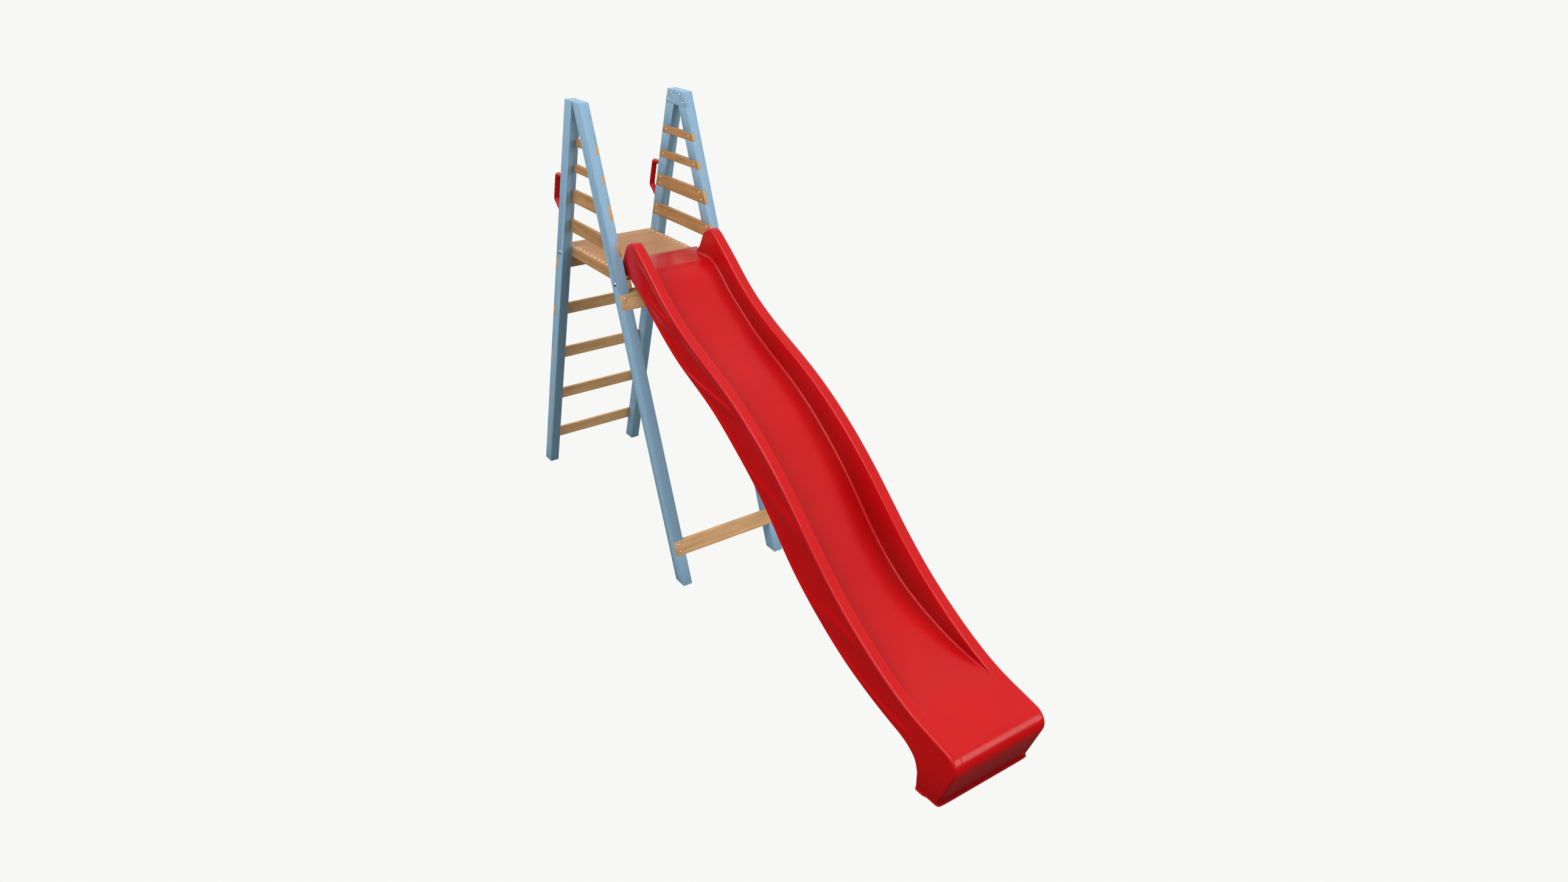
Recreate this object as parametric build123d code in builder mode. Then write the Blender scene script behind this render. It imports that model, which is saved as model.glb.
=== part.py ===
"""Garden slide: a timber A-frame tower with a moulded wavy slide.

Millimetres, +Z up. +X is the way down the slide, +Y is the left side.
The ground is Z = 0 and the XZ plane is the middle plane of the whole part.
Distances called "along" are measured in X from the middle of the tower.
"""

import math
import os

from build123d import *

os.makedirs("parts", exist_ok=True)

# ---------------------------------------------------------------- tower frame
tower_height = 2077.6
base_half = 788.25
post_thick = 45.0
post_run = 72.0
tower_half_width = 278.7
post_inner = tower_half_width - post_thick
lean = (base_half - post_run) / tower_height
lean_angle = math.degrees(math.atan(lean))
slope_cos = math.cos(math.radians(lean_angle))

# -------------------------------------------------------------------- boards
board_thick = 13.5
board_run = board_thick / slope_cos
board_height = 65.9
rung_first = 136.6
rung_pitch = 273.0
rung_count = 5
cross_board_low = 137.5
support_board_low = 1228.2
batten_low = 1240.0
batten_top = 1306.8

# ------------------------------------------------------ guard rails, gussets
rail_spans = ((1449.5, 1511.5), (1599.5, 1661.5), (1748.6, 1784.5), (1869.5, 1904.5))
wide_rail = 50.0
rail_screw_rear = 0.44
rail_screw_front = 0.52
gusset_low = 2012.5

# ---------------------------------------------------------------------- deck
deck_top = 1364.5
deck_thick = 13.5
deck_under = deck_top - deck_thick
deck_pitch = 80.0
deck_gap = 0.8
deck_count = 8
joist_thick = 18.5
joist_low = 1314.0
joist_inner = post_inner - joist_thick

# ----------------------------------------------------------------- fasteners
screw_head = 5.0
screw_dome = 2.6
screw_shank = 1.8
screw_long = 38.0
deck_screw_long = 34.0
deck_screw_side = 218.5
deck_screw_half = 17.7
board_screw_side = 256.7
board_screw_half = 15.9
bolt_along = 292.0
bolt_level = 1331.3
bolt_dome = 10.3
bolt_dome_high = 4.6
bolt_shank = 4.0
washer_radius = 9.0
washer_thick = 1.6
nut_flats = 13.0
nut_high = 6.5

# ------------------------------------------------------------------- handles
handle_middle = 1715.0
handle_half = 125.0
handle_reach = 85.0
handle_grip_half = 66.0
handle_bar = 24.0
handle_width = 24.0
handle_pad = 30.0
handle_pad_thick = 9.0
handle_pad_slope = 14.0
handle_pad_rise = 4.0
handle_corner = 12.0
handle_corner_round = 24.0
handle_screw_room = 1.2

# --------------------------------------------------------------------- slide
slide_half = 222.0
trough_half = 172.0
skin = 5.0
rim_round = 12.0
floor_round = 11.0
landing_top = 1392.0
tongue_rear = 166.0
tongue_half = 218.0
tongue_round = 12.0
nose_along = 2543.8
slide_screw_long = 32.0
slide_boss = 8.0
screw_room = 1.0
screw_room_high = 0.6
tongue_edge = 6.0
foot_rear = 2359.0
foot_flange = 10.5
flange_thick = 5.0

# The tower's middle in X, so that the whole part is centred on X = 0.
tower_x = -(nose_along - base_half) / 2


def outer_face(level):
    """Distance along, from the tower's middle to a post's outer face at this height."""
    return base_half - lean * level


def at(along):
    """X of a place that is given from the tower's middle."""
    return tower_x + along


def side_points(points):
    """Turns (along, height) pairs into points of a sketch on Plane.XZ."""
    return [(at(along), level) for along, level in points]


def leaning_quad(low, high, run, side):
    """Corners of a board section against a post's outer face, side -1 rear and +1 front."""
    return side_points([
        (side * outer_face(low), low),
        (side * outer_face(high), high),
        (side * (outer_face(high) - run), high),
        (side * (outer_face(low) - run), low),
    ])


def spanning_quad(low, high):
    """Corners of a piece that spans from the rear outer face to the front outer face."""
    return side_points([
        (-outer_face(low), low),
        (outer_face(low), low),
        (outer_face(high), high),
        (-outer_face(high), high),
    ])


def side_plane(y):
    """A sketch plane at this Y that faces -Y, with X to the right and Z up."""
    return Plane.XZ.offset(-y)


def save(builder, name):
    """Names a finished piece and writes it as one STEP file."""
    builder.part.label = name
    export_step(builder.part, f"parts/{name}.step")


def leaning_plane(along, level, y, side):
    """A plane on a post's outer face, with its normal pointing out of the post."""
    normal = (side * slope_cos, 0, math.sin(math.radians(lean_angle)))
    return Plane(origin=(at(along), y, level), x_dir=(0, 1, 0), z_dir=normal)


# ------------------------------------------------------ where the screws stand
def board_screw_planes(side, levels):
    """Planes of the screws of one board on the leaning faces."""
    planes = []
    for y in (-board_screw_side, board_screw_side):
        for level in levels:
            planes.append(leaning_plane(side * outer_face(level), level, y, side))
    return planes


def board_levels(low):
    """Heights of the two screws at each end of a board."""
    middle = low + board_height / 2
    return (middle - board_screw_half, middle + board_screw_half)


def rail_screw_spots(low, high):
    """(along, height) of the screws of one guard rail: two a side when it is wide."""
    middle = (low + high) / 2
    levels = (middle,)
    if high - low > wide_rail:
        levels = (middle - board_screw_half, middle + board_screw_half)
    spots = []
    for level in levels:
        spots.append((-(outer_face(level) - rail_screw_rear * post_run), level))
        spots.append((outer_face(level) - rail_screw_front * post_run, level))
    return spots


def gusset_screw_spots():
    """(along, height) of the four screws of one gusset."""
    return [(-41.4, 2061.0), (34.8, 2061.0), (-68.6, 2029.0), (63.6, 2029.0)]


rung_lows = [rung_first + rung_pitch * index for index in range(rung_count)]
rung_screws = [p for low in rung_lows for p in board_screw_planes(-1, board_levels(low))]
cross_screws = board_screw_planes(1, board_levels(cross_board_low))
support_screws = board_screw_planes(1, board_levels(support_board_low))


def inner_face_plane(along, level, side):
    """A plane on the inner face of a side's posts, with its normal to the middle."""
    return Plane(
        origin=(at(along), side * post_inner, level),
        x_dir=(1, 0, 0),
        z_dir=(0, -side, 0),
    )


def side_screw_planes(side, spots):
    """Planes of the screws that go in from the inner face of one side."""
    return [inner_face_plane(along, level, side) for along, level in spots]


all_rail_spots = [spot for low, high in rail_spans for spot in rail_screw_spots(low, high)]
handle_screw_offset = handle_half - handle_pad / 2


def handle_plane(side, offset):
    """A plane on the rear face under a handle, this far up the slope from its middle."""
    up = (handle_middle + offset) * slope_cos
    return leaning_plane(-outer_face(up), up, side * (post_inner + post_thick / 2), -1)


def handle_screw_planes(side):
    """Planes of a handle's two screws, on the rear face of its post."""
    return [handle_plane(side, offset) for offset in (-handle_screw_offset, handle_screw_offset)]


def across_plane(side, end, depth, outward):
    """A plane across the part at a bolt, facing out of the tower or to its middle."""
    return Plane(
        origin=(at(end * bolt_along), side * depth, bolt_level),
        x_dir=(1, 0, 0),
        z_dir=(0, side * outward, 0),
    )


# --------------------------------------------------------------------- posts
for side, side_name in ((1, "left"), (-1, "right")):
    y_low = min(side * post_inner, side * tower_half_width)
    y_high = y_low + post_thick
    skin_low = min(side * post_inner, side * (post_inner + board_thick))
    for end, end_name in ((-1, "rear"), (1, "front")):
        with BuildPart() as post:
            with BuildSketch(side_plane(y_high)):
                with BuildLine():
                    Polyline(*leaning_quad(0, tower_height, post_run, end), close=True)
                make_face()
            extrude(amount=post_thick)
            # Housings for the boards that are let into the leaning face.
            housed = rung_lows if end == -1 else [cross_board_low, support_board_low]
            for low in housed:
                with BuildSketch(side_plane(y_high)):
                    with BuildLine():
                        corners = leaning_quad(low, low + board_height, board_run, end)
                        Polyline(*corners, close=True)
                    make_face()
                extrude(amount=post_thick, mode=Mode.SUBTRACT)
            # Housings for the rails and the gusset in the inner face.
            for low, high in rail_spans + ((gusset_low, tower_height),):
                with BuildSketch(side_plane(skin_low + board_thick)):
                    with BuildLine():
                        Polyline(*spanning_quad(low, high), close=True)
                    make_face()
                extrude(amount=board_thick, mode=Mode.SUBTRACT)
            # Screw holes, the bolt hole and the handle's holes.
            faces = rung_screws if end == -1 else cross_screws + support_screws
            holes = [p for p in faces if p.origin.Y * side > 0]
            spots = all_rail_spots + gusset_screw_spots()
            holes += side_screw_planes(side, [s for s in spots if s[0] * end > 0])
            if end == -1:
                holes += handle_screw_planes(side)
            with Locations(*holes):
                Hole(screw_shank, screw_long)
            with Locations(across_plane(side, end, tower_half_width, 1)):
                Hole(bolt_shank, post_thick)
        save(post, f"{end_name}_post_{side_name}")

# ------------------------------------------------------- gussets, guard rails
for side, side_name in ((1, "left"), (-1, "right")):
    y_low = min(side * post_inner, side * (post_inner + board_thick))
    y_high = y_low + board_thick
    with BuildPart() as gusset:
        with BuildSketch(side_plane(y_high)):
            with BuildLine():
                Polyline(*spanning_quad(gusset_low, tower_height), close=True)
            make_face()
        extrude(amount=board_thick)
        with Locations(*side_screw_planes(side, gusset_screw_spots())):
            Hole(screw_shank, screw_long)
    save(gusset, f"apex_gusset_{side_name}")
    for number, (low, high) in enumerate(rail_spans, start=1):
        with BuildPart() as rail:
            with BuildSketch(side_plane(y_high)):
                with BuildLine():
                    Polyline(*spanning_quad(low, high), close=True)
                make_face()
            extrude(amount=board_thick)
            with Locations(*side_screw_planes(side, rail_screw_spots(low, high))):
                Hole(screw_shank, screw_long)
        save(rail, f"guard_rail_{side_name}_{number}")

# -------------------------------------------------- rungs and the front boards
boards = [(f"rung_{index + 1}", low, -1) for index, low in enumerate(rung_lows)]
boards += [("front_cross_board", cross_board_low, 1)]
for name, low, end in boards:
    with BuildPart() as board:
        with BuildSketch(side_plane(tower_half_width)):
            with BuildLine():
                Polyline(*leaning_quad(low, low + board_height, board_run, end), close=True)
            make_face()
        extrude(amount=2 * tower_half_width)
        with Locations(*board_screw_planes(end, board_levels(low))):
            Hole(screw_shank, screw_long)
    save(board, name)

# The slide batten stands right behind the support board, between the posts.
batten_screw_sides = (-150.0, 0.0, 150.0)
batten_screw_level = support_board_low + board_height / 2
batten_screw_depth = 22.0
batten_front = board_run
batten_screw_planes = []
for y in batten_screw_sides:
    along = outer_face(batten_screw_level) - 2 * board_run
    plane = leaning_plane(along, batten_screw_level, y, 1)
    batten_screw_planes.append(Plane(plane.origin, x_dir=(0, 1, 0), z_dir=-plane.z_dir))

with BuildPart() as slide_batten:
    with BuildSketch(side_plane(post_inner)):
        with BuildLine():
            Polyline(
                *side_points([
                    (outer_face(batten_low) - batten_front, batten_low),
                    (outer_face(batten_top) - batten_front, batten_top),
                    (outer_face(batten_top) - batten_front - board_run, batten_top),
                    (outer_face(batten_low) - batten_front - board_run, batten_low),
                ]),
                close=True,
            )
        make_face()
    extrude(amount=2 * post_inner)
    with Locations(*batten_screw_planes):
        Hole(screw_shank, batten_screw_depth)
save(slide_batten, "slide_batten")

# The support board gets the holes of the batten's screws too.
with BuildPart() as slide_support_board:
    with BuildSketch(side_plane(tower_half_width)):
        with BuildLine():
            support_top = support_board_low + board_height
            Polyline(*leaning_quad(support_board_low, support_top, board_run, 1), close=True)
        make_face()
    extrude(amount=2 * tower_half_width)
    with Locations(*support_screws):
        Hole(screw_shank, screw_long)
    with Locations(*batten_screw_planes):
        Hole(screw_shank, batten_screw_depth)
save(slide_support_board, "slide_support_board")

# ---------------------------------------------------------------------- deck
deck_centres = [deck_pitch * (index - (deck_count - 1) / 2) for index in range(deck_count)]
deck_screw_spots = []
for centre in deck_centres:
    for shift in (-deck_screw_half, deck_screw_half):
        for y in (-deck_screw_side, deck_screw_side):
            deck_screw_spots.append((at(centre + shift), y))
tongue_screw_along = 190.0
tongue_screw_sides = (-140.0, 0.0, 140.0)
tongue_screw_spots = [(at(tongue_screw_along), y) for y in tongue_screw_sides]

for side, side_name in ((1, "left"), (-1, "right")):
    y_low = min(side * joist_inner, side * post_inner)
    y_high = y_low + joist_thick
    with BuildPart() as joist:
        with BuildSketch(side_plane(y_high)):
            with BuildLine():
                Polyline(*spanning_quad(joist_low, deck_under), close=True)
            make_face()
        extrude(amount=joist_thick)
        with Locations(*[across_plane(side, end, post_inner, 1) for end in (-1, 1)]):
            Hole(bolt_shank, joist_thick)
        with Locations(*[(x, y, deck_top) for x, y in deck_screw_spots if y * side > 0]):
            Hole(screw_shank, deck_screw_long)
    save(joist, f"deck_joist_{side_name}")

for index, centre in enumerate(deck_centres):
    low = centre - (deck_pitch - deck_gap) / 2
    high = centre + (deck_pitch - deck_gap) / 2
    corners = [(low, deck_under), (high, deck_under), (high, deck_top), (low, deck_top)]
    if index == 0:
        corners[0] = (-outer_face(deck_under), deck_under)
        corners[3] = (-outer_face(deck_top), deck_top)
    if index == deck_count - 1:
        corners[1] = (outer_face(deck_under), deck_under)
        corners[2] = (outer_face(deck_top), deck_top)
    with BuildPart() as deck_board:
        with BuildSketch(side_plane(post_inner)):
            with BuildLine():
                Polyline(*side_points(corners), close=True)
            make_face()
        extrude(amount=2 * post_inner)
        half = deck_pitch / 2
        own = [(x, y, deck_top) for x, y in deck_screw_spots if abs(x - at(centre)) < half]
        with Locations(*own):
            Hole(screw_shank, deck_thick)
        own = [(x, y, deck_top) for x, y in tongue_screw_spots if abs(x - at(centre)) < half]
        if own:
            with Locations(*own):
                Hole(screw_shank, deck_thick)
    save(deck_board, f"deck_board_{index + 1}")


# ----------------------------------------------------------------- fasteners
def screw_group(planes, long, name):
    """One node of identical round-headed screws: a dome above the surface, a shank below."""
    with BuildPart() as one_screw:
        with BuildSketch(Plane.XZ):
            with BuildLine():
                Line((0, -long), (0, screw_dome))
                ThreePointArc(
                    (0, screw_dome),
                    (screw_head * 0.72, screw_dome * 0.62),
                    (screw_head, 0),
                )
                Polyline(
                    (screw_head, 0),
                    (screw_shank, 0),
                    (screw_shank, -long + screw_shank),
                    (0, -long),
                )
            make_face()
        revolve(axis=Axis.Z)
    with BuildPart() as group:
        with Locations(*planes):
            add(one_screw.part)
    save(group, name)


screw_group(rung_screws, screw_long, "rung_screws")
screw_group(cross_screws, screw_long, "cross_board_screws")
screw_group(support_screws, screw_long, "support_board_screws")
screw_group(batten_screw_planes, batten_screw_depth, "batten_screws")
flat_spots = [Plane(origin=(x, y, deck_top)) for x, y in deck_screw_spots]
screw_group(flat_spots, deck_screw_long, "deck_screws")
rail_planes = [p for side in (1, -1) for p in side_screw_planes(side, all_rail_spots)]
screw_group(rail_planes, screw_long, "guard_rail_screws")
gusset_planes = [p for side in (1, -1) for p in side_screw_planes(side, gusset_screw_spots())]
screw_group(gusset_planes, screw_long, "gusset_screws")

bolt_ends = [(side, end) for side in (1, -1) for end in (-1, 1)]
bolt_end = joist_inner - washer_thick - nut_high - 3.0
with BuildPart() as one_bolt:
    with BuildSketch(Plane.XZ):
        with BuildLine():
            long = tower_half_width - bolt_end
            Line((0, -long), (0, bolt_dome_high))
            ThreePointArc(
                (0, bolt_dome_high),
                (bolt_dome * 0.72, bolt_dome_high * 0.6),
                (bolt_dome, 0),
            )
            Line((bolt_dome, 0), (bolt_shank, 0))
            Line((bolt_shank, 0), (bolt_shank, -long))
            Line((bolt_shank, -long), (0, -long))
        make_face()
    revolve(axis=Axis.Z)
with BuildPart() as one_washer:
    with BuildSketch():
        Circle(washer_radius)
        Circle(bolt_shank, mode=Mode.SUBTRACT)
    extrude(amount=washer_thick)
with BuildPart() as one_nut:
    with BuildSketch(Plane.XY.offset(washer_thick)):
        RegularPolygon(nut_flats / 2, 6, major_radius=False)
        Circle(bolt_shank, mode=Mode.SUBTRACT)
    extrude(amount=nut_high)
    chamfer(one_nut.edges().group_by(Axis.Z)[-1].filter_by(GeomType.LINE), length=0.8)


bolt_planes = [across_plane(s, e, tower_half_width, 1) for s, e in bolt_ends]
nut_planes = [across_plane(s, e, joist_inner, -1) for s, e in bolt_ends]
for name, piece, planes in (
    ("carriage_bolts", one_bolt, bolt_planes),
    ("bolt_washers", one_washer, nut_planes),
    ("bolt_nuts", one_nut, nut_planes),
):
    with BuildPart() as group:
        with Locations(*planes):
            add(piece.part)
    save(group, name)

# ------------------------------------------------------------------- handles
# Each handle is drawn in a plane whose X runs up the post and whose Y points out.
grip_inner = handle_reach - handle_bar
scallop_count = 4
scallop_pitch = 2 * (handle_grip_half - handle_corner) / scallop_count
scallop_deep = 3.2
leg_foot = handle_half - handle_pad
for side, side_name in ((1, "left"), (-1, "right")):
    base = handle_plane(side, 0)
    up_slope = (base.z_dir.Z, 0, -base.z_dir.X)
    profile_plane = Plane(origin=base.origin, x_dir=up_slope, z_dir=(0, -1, 0))
    with BuildPart() as handle:
        with BuildSketch(profile_plane):
            with BuildLine():
                Polyline(
                    (-handle_half, 0),
                    (-handle_half, handle_pad_thick),
                    (-handle_half + handle_pad_slope, handle_pad_thick + handle_pad_rise),
                    (-handle_grip_half, handle_reach),
                    (handle_grip_half, handle_reach),
                    (handle_half - handle_pad_slope, handle_pad_thick + handle_pad_rise),
                    (handle_half, handle_pad_thick),
                    (handle_half, 0),
                    (leg_foot - handle_pad_rise, 0),
                    (handle_grip_half - handle_corner, grip_inner),
                )
                start = handle_grip_half - handle_corner
                for number in range(scallop_count):
                    first = start - number * scallop_pitch
                    ThreePointArc(
                        (first, grip_inner),
                        (first - scallop_pitch / 2, grip_inner + scallop_deep),
                        (first - scallop_pitch, grip_inner),
                    )
                Polyline(
                    (-handle_grip_half + handle_corner, grip_inner),
                    (-leg_foot + handle_pad_rise, 0),
                    (-handle_half, 0),
                )
            make_face()
        extrude(amount=handle_width / 2, both=True)
        outer_edges = handle.edges().filter_by(Axis.Y)
        far_corners = [
            edge
            for edge in outer_edges
            if (edge.center() - base.origin).dot(base.z_dir) > handle_reach - 1
        ]
        fillet(far_corners, radius=handle_corner_round)
        # Each screw stands at the bottom of a wide hole through its leg.
        with Locations(*[p.offset(handle_reach) for p in handle_screw_planes(side)]):
            CounterBoreHole(
                radius=screw_shank,
                counter_bore_radius=screw_head + handle_screw_room,
                counter_bore_depth=handle_reach - handle_pad_thick,
                depth=handle_reach,
            )
    save(handle, f"handle_{side_name}")


# --------------------------------------------------------------------- slide
# Lines of the slide seen from the side, as (along, height).
ear_rear = [(235.8, 1392.0), (268.0, 1431.0), (298.0, 1484.0), (328.0, 1514.0)]
rim_line = [
    (366.0, 1525.0),
    (416.0, 1500.0),
    (516.0, 1422.0),
    (616.0, 1341.0),
    (716.0, 1276.0),
    (866.0, 1202.0),
    (1016.0, 1140.0),
    (1166.0, 1071.0),
    (1316.0, 984.0),
    (1466.0, 877.0),
    (1616.0, 749.0),
    (1716.0, 657.0),
    (1866.0, 533.0),
    (2016.0, 434.0),
    (2166.0, 354.0),
    (2323.0, 295.5),
]
bed_line = [
    (361.0, 1392.0),
    (399.0, 1380.0),
    (437.0, 1359.0),
    (516.0, 1293.0),
    (616.0, 1225.0),
    (716.0, 1163.0),
    (866.0, 1089.0),
    (1016.0, 1021.0),
    (1166.0, 936.5),
    (1316.0, 828.0),
    (1416.0, 742.0),
    (1516.0, 642.0),
    (1616.0, 545.0),
    (1716.0, 466.0),
    (1816.0, 406.0),
    (1966.0, 348.0),
    (2116.0, 311.0),
    (2230.0, 297.5),
    (2323.0, 290.0),
]
skirt_line = [
    (323.0, deck_top),
    (376.0, 1333.0),
    (416.0, 1309.0),
    (516.0, 1236.0),
    (616.0, 1166.0),
    (716.0, 1106.0),
    (866.0, 1039.5),
    (1016.0, 970.0),
    (1166.0, 875.0),
    (1316.0, 767.0),
    (1416.0, 678.0),
    (1516.0, 573.0),
    (1616.0, 482.0),
    (1766.0, 376.0),
    (1916.0, 291.0),
    (2066.0, 230.0),
    (2216.0, 184.5),
    (2300.0, 155.0),
    (2338.0, 125.0),
    (foot_rear, 70.0),
]
rim_end = (2400.0, 278.5)
parting_step = 0.8
nose_centre = (nose_along - 60.0, 200.5)
nose_radius = 60.0
nose_top_tilt = math.radians(78.5)
nose_front_tilt = math.radians(-21.0)


def on_nose(radius, tilt):
    """A point of the nose's round, this far from its centre, tilt up from +X."""
    return (
        nose_centre[0] + radius * math.cos(tilt),
        nose_centre[1] + radius * math.sin(tilt),
    )


def inward(points, amount):
    """The line moved by this amount to its right-hand side, the inside of the wall."""
    moved = []
    for index, (along, level) in enumerate(points):
        before = points[max(index - 1, 0)]
        after = points[min(index + 1, len(points) - 1)]
        run = after[0] - before[0]
        rise = after[1] - before[1]
        length = math.hypot(run, rise)
        moved.append((along + amount * rise / length, level - amount * run / length))
    return moved


def front_foot(inset, level):
    """Where the front face is at this height, moved in by the wall's thickness."""
    start = on_nose(nose_radius - inset, nose_front_tilt)
    back = (start[1] - level) * math.tan(-nose_front_tilt)
    return (start[0] - back, level)


def top_line(inset):
    """The whole top line, from the foot of the ear to the nose, moved in by the inset."""
    line = inward(ear_rear + rim_line + [rim_end, on_nose(nose_radius, nose_top_tilt)], inset)
    return line[:-1] + [on_nose(nose_radius - inset, nose_top_tilt)]


def nose_points(inset):
    """Three points of the nose's round."""
    middle = (nose_top_tilt + nose_front_tilt) / 2
    return [on_nose(nose_radius - inset, t) for t in (nose_top_tilt, middle, nose_front_tilt)]


def upper_edges(body):
    """The long curved edges of a prism's top and nose, along both of its flat sides."""
    tops = [f for f in body.faces() if f.geom_type != GeomType.PLANE and f.normal_at().Z > 0]
    edges = [edge for face in tops for edge in face.edges()]
    return [edge for edge in edges if edge.geom_type != GeomType.LINE]


void_bottom = -20.0
bed_end = (2380.0, 283.0)
cove_rise = 12.0
cove_rear = 262.0

slide_parts = []
for side in (1, -1):
    y_low = min(side * trough_half, side * slide_half)
    with BuildPart() as wall:
        with BuildSketch(side_plane(y_low + slide_half - trough_half)):
            with BuildLine():
                Spline(*side_points(top_line(0)))
                ThreePointArc(*side_points(nose_points(0)))
                Polyline(*side_points([
                    nose_points(0)[-1],
                    front_foot(0, 0),
                    (foot_rear, 0),
                    skirt_line[-1],
                ]))
                Spline(*side_points(skirt_line[::-1]))
                Polyline(*side_points([
                    skirt_line[0],
                    (ear_rear[0][0], deck_top),
                    ear_rear[0],
                ]))
            make_face()
        extrude(amount=slide_half - trough_half)
        fillet(upper_edges(wall.part), radius=rim_round)
    slide_parts.append(wall.part)

# The middle: landing, bed and nose, with a strip on each side for the coves.
landing = [(tongue_rear, 1389.0), (231.0, landing_top), (cove_rear, landing_top)]
core_under = inward(bed_line[2:-1], 30.0)
raised_bed = [(361.0, landing_top + cove_rise)] + inward(bed_line[1:-1], -cove_rise)
with BuildPart() as core:
    with BuildSketch(side_plane(trough_half + rim_round)):
        with BuildLine():
            Polyline(*side_points([
                front_foot(parting_step, 0),
                (foot_rear + 30.0, 0),
                (foot_rear + 30.0, 200.0),
                core_under[-1],
            ]))
            Spline(*side_points(core_under[::-1]))
            Polyline(*side_points([
                core_under[0],
                (core_under[0][0], deck_top),
                (tongue_rear, deck_top),
                *landing,
                (cove_rear, landing_top + cove_rise),
                raised_bed[0],
            ]))
            Spline(*side_points(raised_bed + top_line(parting_step)[-3:]))
            ThreePointArc(*side_points(nose_points(parting_step)))
            Line(*side_points([nose_points(parting_step)[-1], front_foot(parting_step, 0)]))
        make_face()
    extrude(amount=2 * (trough_half + rim_round))

# The tongue lies on the deck and is as wide as the slide between its ears.
with BuildPart() as tongue:
    with BuildSketch(Plane.XY.offset(deck_top)):
        with Locations((at((tongue_rear + cove_rear) / 2), 0)):
            Rectangle(cove_rear - tongue_rear, 2 * tongue_half)
    extrude(amount=landing_top - deck_top)
    fillet(tongue.edges().filter_by(Axis.Z).group_by(Axis.X)[0], radius=tongue_round)
    fillet(tongue.faces().sort_by(Axis.Z)[-1].edges().sort_by(Axis.X)[:-1], radius=tongue_edge)

# What is cut away between the walls, rounded along its bottom for the coves.
with BuildPart() as trough:
    with BuildSketch(side_plane(trough_half)):
        with BuildLine():
            Polyline(*side_points([
                (bed_end[0] + 40.0, 420.0),
                (bed_end[0] + 40.0, 1700.0),
                (cove_rear - 60.0, 1700.0),
                (cove_rear - 60.0, landing_top),
                bed_line[0],
            ]))
            Spline(*side_points(bed_line + [bed_end]))
            Line(*side_points([bed_end, (bed_end[0] + 40.0, 420.0)]))
        make_face()
    extrude(amount=2 * trough_half)
    bottom = [
        edge
        for edge in trough.edges()
        if abs(abs(edge.position_at(0.5).Y) - trough_half) < 0.1
        and (edge.geom_type == GeomType.BSPLINE
             or abs(edge.position_at(0.5).Z - landing_top) < 0.1)
    ]
    fillet(bottom, radius=floor_round)

# The hollow under the skin: a high band under each rim and a low one under the bed.
with BuildPart() as rim_hollow:
    with BuildSketch(side_plane(slide_half - skin)):
        with BuildLine():
            top = top_line(skin)
            Spline(*side_points(top))
            ThreePointArc(*side_points(nose_points(skin)))
            Polyline(*side_points([
                nose_points(skin)[-1],
                front_foot(skin, void_bottom),
                (top[0][0], void_bottom),
                top[0],
            ]))
        make_face()
    extrude(amount=2 * (slide_half - skin))
    fillet(upper_edges(rim_hollow.part), radius=rim_round - skin)

with BuildPart() as bed_keep:
    with BuildSketch(side_plane(trough_half + skin)):
        with BuildLine():
            under = inward(bed_line + [bed_end], skin)
            Polyline(*side_points([
                (under[-1][0] + 40.0, 420.0),
                (under[-1][0] + 40.0, 1700.0),
                (tongue_rear + skin, 1700.0),
                (tongue_rear + skin, landing_top - skin),
                under[0],
            ]))
            Spline(*side_points(under))
            Line(*side_points([under[-1], (under[-1][0] + 40.0, 420.0)]))
        make_face()
    extrude(amount=2 * (trough_half + skin))

with BuildPart() as hollow:
    add(rim_hollow.part)
    add(bed_keep.part, mode=Mode.SUBTRACT)
    with BuildSketch(Plane.XY.offset(void_bottom)):
        with Locations((at((tongue_rear + skin + cove_rear) / 2), 0)):
            Rectangle(cove_rear - tongue_rear - skin, 2 * (tongue_half - skin))
    extrude(amount=landing_top - skin - void_bottom)

flange_side = [
    (foot_rear - 3.0, slide_half - skin),
    (foot_rear - 3.0, slide_half + 4.0),
    (foot_rear + 8.0, slide_half + foot_flange),
    (foot_rear + 46.0, slide_half + foot_flange),
    (foot_rear + 60.0, slide_half + 3.0),
    (front_foot(0, 0)[0] - 4.0, slide_half + 3.0),
    (front_foot(0, 0)[0] + foot_flange, slide_half - 12.0),
]
with BuildPart() as slide:
    for piece in slide_parts:
        add(piece)
    add(core.part)
    add(tongue.part)
    add(trough.part, mode=Mode.SUBTRACT)
    add(hollow.part, mode=Mode.SUBTRACT)
    # The lip round the foot, where it stands on the ground.
    with BuildSketch(Plane.XY):
        with BuildLine():
            lip = [(at(along), y) for along, y in flange_side]
            Polyline(*lip, *[(x, -y) for x, y in lip[::-1]], close=True)
        make_face()
        inner_long = front_foot(skin, 0)[0] - foot_rear + 10.0
        with Locations((at(foot_rear - 10.0) + inner_long / 2, 0)):
            Rectangle(inner_long, 2 * (slide_half - skin), mode=Mode.SUBTRACT)
    extrude(amount=flange_thick)
    # Reliefs over the heads of the deck's screws.
    covered = [(x, y) for x, y in deck_screw_spots if x > at(tongue_rear) - screw_head]
    with BuildSketch(Plane.XY.offset(deck_top)):
        with Locations(*covered):
            Circle(screw_head + screw_room)
    extrude(amount=screw_dome + screw_room_high, mode=Mode.SUBTRACT)
    # Bosses that the fixing screws go up into, through the deck.
    with BuildSketch(Plane.XY.offset(deck_top)):
        with Locations(*tongue_screw_spots):
            Circle(slide_boss)
    extrude(amount=landing_top - skin / 2 - deck_top)
    with BuildSketch(Plane.XY.offset(deck_top)):
        with Locations(*tongue_screw_spots):
            Circle(screw_shank)
    extrude(amount=slide_screw_long - deck_thick, mode=Mode.SUBTRACT)
save(slide, "slide")
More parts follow.
